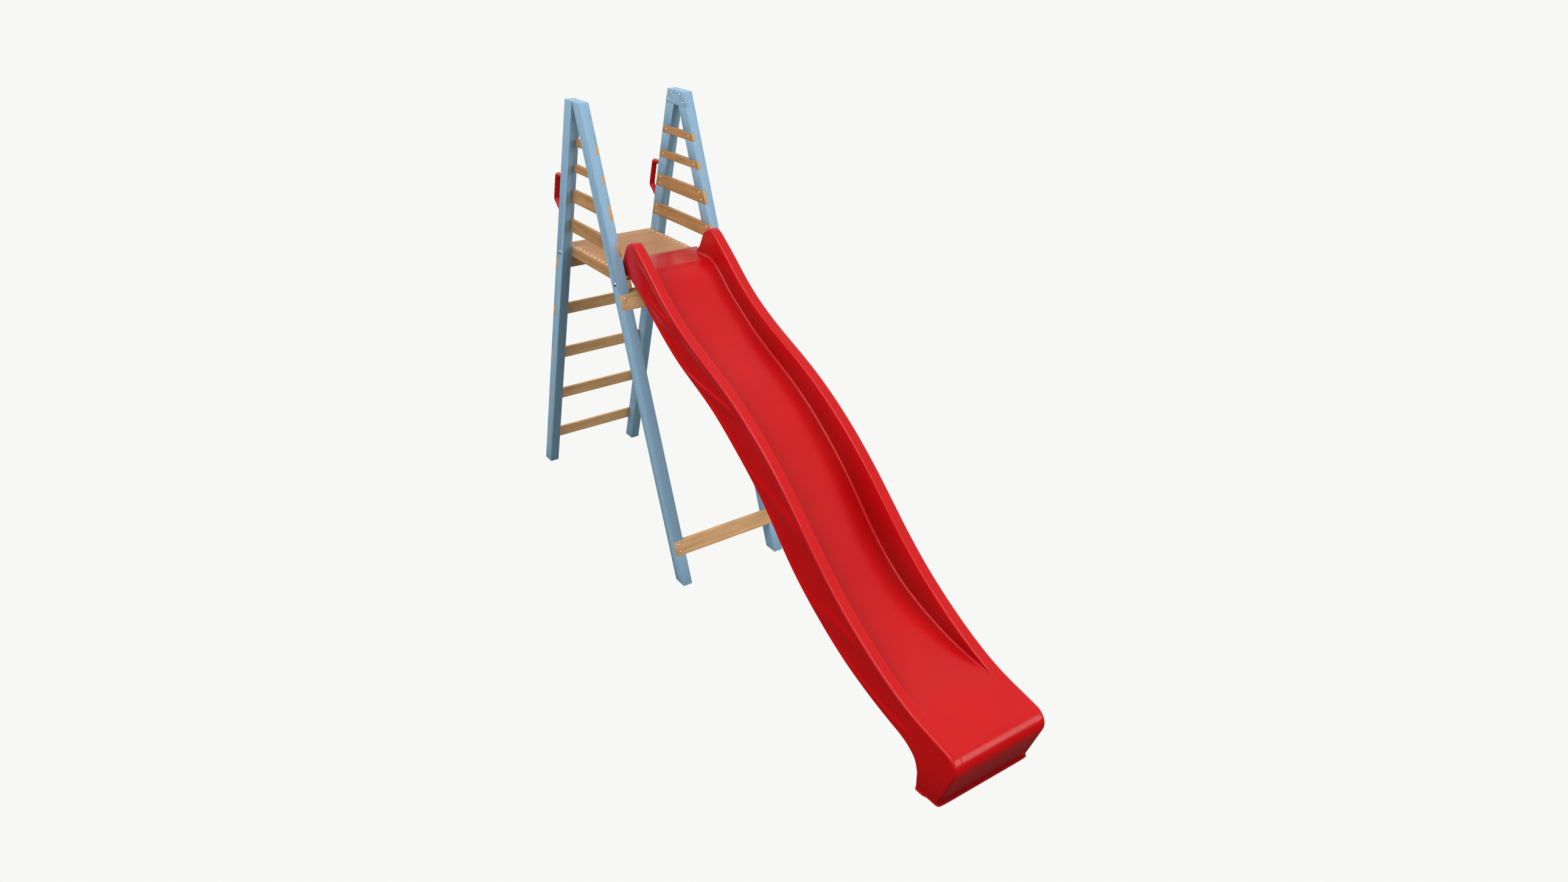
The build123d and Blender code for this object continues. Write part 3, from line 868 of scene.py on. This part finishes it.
@dataclass(frozen=True)
class Ridge:
    """One soft diagonal ridge of the outer wall: (along, depth below the rim) points."""

    points: Outline

    def along_at(self, depth: np.ndarray) -> np.ndarray:
        """Where the ridge is at a depth below the rim.

        Args:
            depth: Depths below the rim, in millimetres.

        Returns:
            Distances along, in millimetres.
        """
        places = sorted(self.points, key=lambda p: p[1])
        return np.interp(depth, [p[1] for p in places], [p[0] for p in places])


@dataclass
class Slide:
    """The moulded slide: one shell with a landing, ears, a wavy trough and a nose."""

    material: bpy.types.Material
    lines: SlideLines = SlideLines()
    # Half widths of the slide and its trough, the rounding of its rims and of the bed's
    # corners, and the thickness of its wall, in millimetres like the rest.
    half: float = 222.0
    trough: float = 172.0
    rim_round: float = 12.0
    cove: float = 11.0
    skin: float = 5.0
    # Where the bed comes within this gap of the rim, it is set in by up to this inset.
    merge_gap: float = 8.0
    merge_inset: float = 0.8
    # Half width of the tongue, and the rounding of its corners and of its upper edges.
    tongue_half: float = 218.0
    tongue_corner: float = 12.0
    tongue_round: float = 6.0
    # The foot's rear, front and side, up against which the lip is built.
    lip_inside: tuple[float, float, float] = (2361.0, 2467.0, 219.0)
    lip_ease: float = 1.8
    # How finely each stretch of the slide is divided.
    ear_steps: int = 40
    trough_steps: int = 215
    nose_steps: int = 26
    face_steps: int = 16
    curve_step: float = 2.0
    # Height below which the nose's sections turn level, and degrees that are smoothed over.
    level_out: float = 40.0
    smoothed: float = 35.0
    # The outer wall is sunk in fields between its ridges. A field sinks slowly from the
    # ridge behind it and rises sooner to the one ahead.
    relief: float = 5.5
    sink_run: float = 110.0
    rise_run: float = 55.0
    shortest_field: float = 120.0
    first_field: float = 330.0
    last_field: float = 380.0
    # The fields fade out under the rim, above the skirt's edge and at both ends.
    rim_clear: float = 14.0
    rim_fade: float = 34.0
    skirt_fade: float = 30.0
    rear_fade: float = 120.0
    front_clear: float = 2330.0
    front_fade: float = 60.0
    ridges: tuple[Ridge, ...] = (
        Ridge(((400.0, 190.0), (716.0, 30.0))),
        Ridge(((700.0, 190.0), (996.0, 105.0), (1216.0, 30.0))),
        Ridge(((1296.0, 190.0), (1476.0, 125.0), (1636.0, 35.0))),
        Ridge(((1716.0, 240.0), (1856.0, 115.0), (2036.0, 25.0))),
        Ridge(((1950.0, 190.0), (2236.0, 115.0), (2436.0, 65.0))),
    )

    def stations(self) -> tuple[np.ndarray, np.ndarray, np.ndarray, np.ndarray]:
        """Top, bed and skirt points of every section behind the landing.

        Returns:
            Arrays of top points, their outward normals, bed points and skirt points.
        """
        lines = self.lines
        top = through(lines.top, self.curve_step)
        bed = through(lines.bed, self.curve_step)
        skirt = through(lines.skirt[:-2], self.curve_step)
        # Behind the nose, rim, bed and skirt are taken straight below each other.
        dense = np.concatenate([
            np.linspace(lines.ear_foot, lines.ears_end, self.ear_steps, endpoint=False),
            np.linspace(lines.ears_end, lines.pair_end, self.trough_steps, endpoint=False),
        ])
        t_z = np.interp(dense, top[:, 0], top[:, 1])
        b_x = np.concatenate([[0.0, lines.landing_end], bed[:, 0]])
        b_z = np.concatenate([[lines.landing, lines.landing], bed[:, 1]])
        s_z = np.interp(dense, skirt[:, 0], skirt[:, 1], left=lines.deck)
        # Round the nose they fan out, paired by their share of each line's length.
        cx, cz, radius = lines.nose
        turn = np.radians(np.linspace(*lines.nose_turn, self.nose_steps))
        arc = np.stack([cx + radius * np.cos(turn), cz + radius * np.sin(turn)], 1)
        foot_x = arc[-1, 0] - arc[-1, 1] * math.tan(math.radians(-lines.nose_turn[1]))
        face = np.linspace(arc[-1], (foot_x, 0.0), self.face_steps)[1:]
        ahead = top[top[:, 0] >= lines.pair_end][::4]
        front = np.concatenate([ahead[:-1], arc, face])
        foot = through(lines.skirt[-4:-1], self.curve_step)
        foot = np.concatenate([foot, [(lines.skirt[-1][0], 0.0)]])
        share = np.concatenate([[0], np.cumsum(np.hypot(*np.diff(front, axis=0).T))])
        share /= share[-1]
        length = np.concatenate([[0], np.cumsum(np.hypot(*np.diff(foot, axis=0).T))])
        under = np.stack([np.interp(share * length[-1], length, foot[:, i]) for i in (0, 1)], 1)
        tops = np.concatenate([np.stack([dense, t_z], 1), front])
        skirts = np.concatenate([np.stack([dense, s_z], 1), under])
        beds = np.stack([tops[:, 0], np.interp(tops[:, 0], b_x, b_z)], 1)
        merged = tops[:, 0] >= lines.bed[-1][0]
        beds[merged] = tops[merged]
        beds[:, 1] = np.minimum(beds[:, 1], tops[:, 1])
        run = np.gradient(tops, axis=0)
        run /= np.linalg.norm(run, axis=1)[:, None]
        normals = np.stack([-run[:, 1], run[:, 0]], 1)
        # Near the ground the sections of the nose turn until they lie level with it.
        free = np.clip(tops[:, 1] / self.level_out, 0.0, 1.0)
        free = np.where(tops[:, 0] > lines.bed_merge, free, 1.0)[:, None]
        normals = normals * free + np.array([[1.0, 0.0]]) * (1 - free)
        normals /= np.linalg.norm(normals, axis=1)[:, None]
        return tops, normals, beds, skirts

    def wall_relief(self, along: np.ndarray, depth: np.ndarray, above: np.ndarray) -> np.ndarray:
        """How far the outer wall is sunk at a place, in millimetres.

        Args:
            along: Distance along the slide.
            depth: Depth below the rim.
            above: Height above the skirt's edge.

        Returns:
            The depth of the relief.
        """
        edges = [ridge.along_at(depth) for ridge in self.ridges]
        edges = [edges[0] - self.first_field, *edges, edges[-1] + self.last_field]
        sunk = np.zeros_like(along)
        for rear, front in zip(edges[:-1], edges[1:]):
            down = eased(np.clip((along - rear) / self.sink_run, 0, 1))
            up = eased(np.clip((front - along) / self.rise_run, 0, 1))
            inside = (along >= rear) & (along < np.maximum(front, rear + self.shortest_field))
            sunk = np.where(inside, self.relief * np.minimum(down, up), sunk)
        rim = eased(np.clip((depth - self.rim_clear) / self.rim_fade, 0, 1))
        edge = eased(np.clip(above / self.skirt_fade, 0, 1))
        rear_end = np.clip((along - self.lines.ears_end) / self.rear_fade, 0, 1)
        front_end = np.clip((self.front_clear - along) / self.front_fade, 0, 1)
        return sunk * rim * rear_end * front_end * edge

    def section_plan(self) -> dict[str, np.ndarray]:
        """The sideways places that every section shares.

        Returns:
            Named arrays of the half section's parts, as lengths, shares or angles. Each
            part leaves out the point that it has in common with the part before it.
        """
        turn = np.linspace(0, math.pi / 2, 7)[1:]
        return {
            "bed": np.linspace(0.0, self.trough - self.cove, 9),
            "cove": turn,
            "wall": np.linspace(0, 1, 9)[1:-1],
            "rim_in": turn,
            "flat": np.linspace(self.trough + self.rim_round, self.half - self.rim_round, 4)[1:],
            "rim_out": turn,
            "outer": np.linspace(0, 1, 23)[1:],
        }

    def half_section(
        self, top: np.ndarray, normal: np.ndarray, bed: np.ndarray, skirt: np.ndarray
    ) -> np.ndarray:
        """Points of one half section, from the middle of the bed to the skirt's edge.

        Args:
            top: The rim's point.
            normal: Outward normal of the rim line.
            bed: The bed's point.
            skirt: The point of the skirt's edge.

        Returns:
            Array of (along, sideways, height).
        """
        plan = self.section_plan()
        gap = max(0.0, float(np.dot(top - bed, normal)))
        cove = min(self.cove, gap / 2)
        rim_in = min(self.rim_round, gap / 2)
        inset = self.merge_inset * max(0.0, 1 - gap / self.merge_gap)
        low = bed - normal * inset
        level = np.ones_like(plan["bed"])
        parts = [np.column_stack([low[0] * level, plan["bed"], low[1] * level])]
        turn = plan["cove"]
        lift = cove * (1 - np.cos(turn))
        parts.append(np.column_stack([
            low[0] + normal[0] * lift,
            self.trough - self.cove * (1 - np.sin(turn)),
            low[1] + normal[1] * lift,
        ]))
        start = low + normal * cove
        end = top - normal * (rim_in + inset)
        t = plan["wall"][:, None]
        side = start * (1 - t) + end * t
        upright = np.full(len(side), self.trough)
        parts.append(np.column_stack([side[:, 0], upright, side[:, 1]]))
        turn = plan["rim_in"]
        drop = rim_in * (1 - np.sin(turn)) + inset * (turn < turn[-1])
        parts.append(np.column_stack([
            top[0] - normal[0] * drop,
            self.trough + self.rim_round * (1 - np.cos(turn)),
            top[1] - normal[1] * drop,
        ]))
        level = np.ones_like(plan["flat"])
        parts.append(np.column_stack([top[0] * level, plan["flat"], top[1] * level]))
        turn = plan["rim_out"]
        drop = self.rim_round * (1 - np.cos(turn))
        parts.append(np.column_stack([
            top[0] - normal[0] * drop,
            self.half - self.rim_round * (1 - np.sin(turn)),
            top[1] - normal[1] * drop,
        ]))
        start = top - normal * self.rim_round
        t = plan["outer"][:, None]
        side = start * (1 - t) + skirt * t
        depth = np.maximum(0.0, top[1] - side[:, 1])
        above = np.maximum(0.0, side[:, 1] - skirt[1])
        sunk = self.wall_relief(side[:, 0], depth, above)
        parts.append(np.column_stack([side[:, 0], self.half - sunk, side[:, 1]]))
        return np.concatenate(parts)

    def tongue_rows(self) -> list[np.ndarray]:
        """Half sections of the flat tongue that lies on the deck.

        Returns:
            The rows, from its rear edge to the foot of the ears.
        """
        plan = self.section_plan()
        base = np.concatenate([
            plan["bed"],
            self.trough - self.cove * (1 - np.sin(plan["cove"])),
            np.full(len(plan["wall"]), self.trough),
            self.trough + self.rim_round * (1 - np.cos(plan["rim_in"])),
            plan["flat"],
        ])
        # The wall has no height here, so its points lie close together on the flat.
        first, count = len(plan["bed"]) + len(plan["cove"]), len(plan["wall"])
        base[first:first + count] = self.trough + np.linspace(0.02, 0.1, count)
        corner, edge_round = self.tongue_corner, self.tongue_round
        rows = []
        # The first row lies on the deck under the rear edge. The rest follow the rounding.
        places = [-1.0, 0.0, 0.25, 0.8, 1.6, 2.6, 4.0, 6.0, 8.0, 10.0, 12.0, 20.0, 40.0, 58.0, 66.0]
        for place in places:
            d = max(0.0, place)
            turned = corner ** 2 - (corner - min(d, corner)) ** 2
            width = self.tongue_half - corner + math.sqrt(max(0.0, turned))
            edge = math.sqrt(max(0.0, edge_round ** 2 - (edge_round - min(d, edge_round)) ** 2))
            level = self.lines.landing - edge_round + edge
            if place < 0:
                level = self.lines.deck
            y = base * (width - edge) / base[-1]
            x = np.full(len(y), self.lines.tongue + d)
            top = np.column_stack([x, y, np.full(len(y), level)])
            turn = plan["rim_out"]
            arc = np.column_stack([
                np.full(len(turn), self.lines.tongue + d),
                width - edge * (1 - np.sin(turn)),
                level - edge * (1 - np.cos(turn)),
            ])
            down = (level - edge) * (1 - plan["outer"]) + self.lines.deck * plan["outer"]
            wall = np.column_stack([
                np.full(len(down), self.lines.tongue + d), np.full(len(down), width), down,
            ])
            rows.append(np.concatenate([top, arc, wall]))
        return rows

    def lip(self) -> bpy.types.Object:
        """Builds the lip round the foot, with a wider lobe at each side.

        Returns:
            The lip.
        """
        half = [(2359, 219), (2361, 228), (2368, 232.5), (2402, 232.5), (2414, 228), (2420, 225)]
        half += [(2462, 225), (2477, 222), (2481.6, 208), (2481.6, 100)]
        path = half + [(x, -y) for x, y in half[::-1]]
        # Corners are cut three times over, until the outline is round.
        for _ in range(3):
            cut = [path[0]]
            for (x0, y0), (x1, y1) in zip(path[:-1], path[1:]):
                cut.append((0.75 * x0 + 0.25 * x1, 0.75 * y0 + 0.25 * y1))
                cut.append((0.25 * x0 + 0.75 * x1, 0.25 * y0 + 0.75 * y1))
            path = [*cut, path[-1]]
        rear, front, side = self.lip_inside
        rows = []
        for x, y in path:
            inner = (min(max(x, rear), front), min(max(y, -side), side))
            out = math.hypot(x - inner[0], y - inner[1])
            ease = min(1.0, self.lip_ease / out) if out > 0 else 0.0
            # Up the rim's face, round its edge and back to the foot's wall.
            row = [(*inner, 0.0), (x, y, 0.0)]
            for share, height in ((0.0, 3.2), (0.3, 4.5), (1.0, 5.0)):
                back = ease * share
                row.append((x + (inner[0] - x) * back, y + (inner[1] - y) * back, height))
            rows.append([*row, (*inner, 5.0)])
        ring = np.array(rows) * MM
        ring[:, :, 0] += TOWER_X
        return shaped_grid("slide_foot_lip", ring, True)

    def build(self) -> None:
        """Builds the shell, the lip round its foot, and registers them."""
        rows = self.tongue_rows()
        for top, normal, bed, skirt in zip(*self.stations()):
            rows.append(self.half_section(top, normal, bed, skirt))
        half = np.array(rows)
        half[:, :, 2] = np.maximum(half[:, :, 2], 0.0)
        mirror = half[:, :0:-1].copy()
        mirror[:, :, 1] *= -1
        full = np.concatenate([mirror, half], axis=1) * MM
        full[:, :, 0] += TOWER_X
        piece = shaped_grid("slide_shell", full, False)
        wall = piece.modifiers.new("skin", "SOLIDIFY")
        wall.thickness = self.skin * MM
        wall.offset = -1.0
        wall.use_even_offset = False
        apply_all(piece)
        smooth(piece, self.smoothed)
        dress(piece, self.material)
        register(piece, "red_slide_plastic", "slide")
        lip = self.lip()
        smooth(lip, self.smoothed)
        dress(lip, self.material)
        register(lip, "red_slide_plastic")


# -------------------------------------------------------------------- the stage
@dataclass(frozen=True)
class AreaLamp:
    """One soft lamp of the studio."""

    name: str
    place: tuple[float, float, float]
    target: tuple[float, float, float]
    size: float
    power: float

    def build(self) -> None:
        """Hangs the lamp and points it at its target."""
        bpy.ops.object.light_add(type="AREA", location=self.place)
        lamp = bpy.context.view_layer.objects.active
        lamp.name = self.name
        lamp.data.size = self.size
        lamp.data.energy = self.power
        aim = Vector(self.target) - Vector(self.place)
        lamp.rotation_mode = "QUATERNION"
        lamp.rotation_quaternion = aim.to_track_quat("-Z", "Y")


@dataclass(frozen=True)
class Stage:
    """A plain pale floor, an even sky, soft lamps and the camera."""

    colour: str = "F7F8F6"
    sky: float = 0.78
    ground: float = 0.2
    ground_gleam: float = 0.05
    lamps: tuple[AreaLamp, ...] = (
        AreaLamp("high_lamp", (1.35, -5.4, 8.1), (0.0, 0.0, 1.0), 7.0, 420.0),
        AreaLamp("front_lamp", (7.8, 3.4, 3.2), (0.0, 0.0, 1.0), 4.0, 180.0),
    )
    camera_place: tuple[float, float, float] = (3.557835, -2.2464, 2.8701)
    camera_turn: float = 55.186
    camera_rise: float = 27.121
    sensor: float = 36.0
    lens: float = 24.48

    def build(self) -> None:
        """Builds the floor, the sky, the lamps and the camera."""
        self.floor()
        self.even_sky()
        for lamp in self.lamps:
            lamp.build()
        bpy.context.scene.view_settings.view_transform = "Standard"
        self.camera()

    def floor(self) -> None:
        """Lays a pale backdrop card that shows no shadow and sends little light back up."""
        bpy.ops.mesh.primitive_plane_add(size=60.0, location=(0.0, 0.0, -0.0005))
        floor = bpy.context.view_layer.objects.active
        floor.name = "floor"
        card = bpy.data.materials.new("pale_backdrop_card")
        card.use_nodes = True
        card.node_tree.nodes.clear()
        pale = linear(self.colour)
        shown, bounced, mirrored = (
            add_node(card, "ShaderNodeEmission", {"Color": pale, "Strength": strength}).outputs[0]
            for strength in (1.0, self.ground, self.ground_gleam)
        )
        rays = add_node(card, "ShaderNodeLightPath", {}).outputs
        lit = add_node(
            card, "ShaderNodeMixShader", {0: rays["Is Glossy Ray"], 1: bounced, 2: mirrored}
        )
        either = add_node(
            card, "ShaderNodeMixShader", {0: rays["Is Camera Ray"], 1: lit.outputs[0], 2: shown}
        )
        add_node(card, "ShaderNodeOutputMaterial", {"Surface": either.outputs[0]})
        dress(floor, card)

    def even_sky(self) -> None:
        """Fills the background with one pale colour, which lights all sides evenly."""
        world = bpy.data.worlds.new("even_sky")
        bpy.context.scene.world = world
        world.use_nodes = True
        world.node_tree.nodes.clear()
        pale = linear(self.colour)
        shown, lit = (
            add_node(world, "ShaderNodeBackground", {"Color": pale, "Strength": strength}).outputs[0]
            for strength in (1.0, self.sky)
        )
        seen = add_node(world, "ShaderNodeLightPath", {}).outputs["Is Camera Ray"]
        either = add_node(world, "ShaderNodeMixShader", {0: seen, 1: lit, 2: shown})
        add_node(world, "ShaderNodeOutputWorld", {"Surface": either.outputs[0]})

    def camera(self) -> None:
        """Puts the camera in front, high and to the right of the slide."""
        bpy.ops.object.camera_add(location=self.camera_place)
        camera = bpy.context.view_layer.objects.active
        camera.name = "camera"
        camera.data.sensor_width = self.sensor
        camera.data.lens = self.lens
        turn, rise = math.radians(self.camera_turn), math.radians(self.camera_rise)
        back = Vector((
            math.sin(turn) * math.cos(rise),
            -math.cos(turn) * math.cos(rise),
            math.sin(rise),
        ))
        camera.rotation_mode = "QUATERNION"
        camera.rotation_quaternion = (-back).to_track_quat("-Z", "Y")
        bpy.context.scene.camera = camera


def write_sizes() -> None:
    """Brings the view layer up to date."""
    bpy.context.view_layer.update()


def main() -> None:
    """Builds everything in order."""
    logging.basicConfig(level=logging.INFO, format="%(name)s: %(message)s")
    palette = Palette().build()
    Stage().build()
    Tower(palette).build()
    Fasteners(palette).build()
    for side in Side:
        Handle(side, palette.grip).build()
    Slide(palette.slide).build()
    write_sizes()


if __name__ == "__main__":
    main()
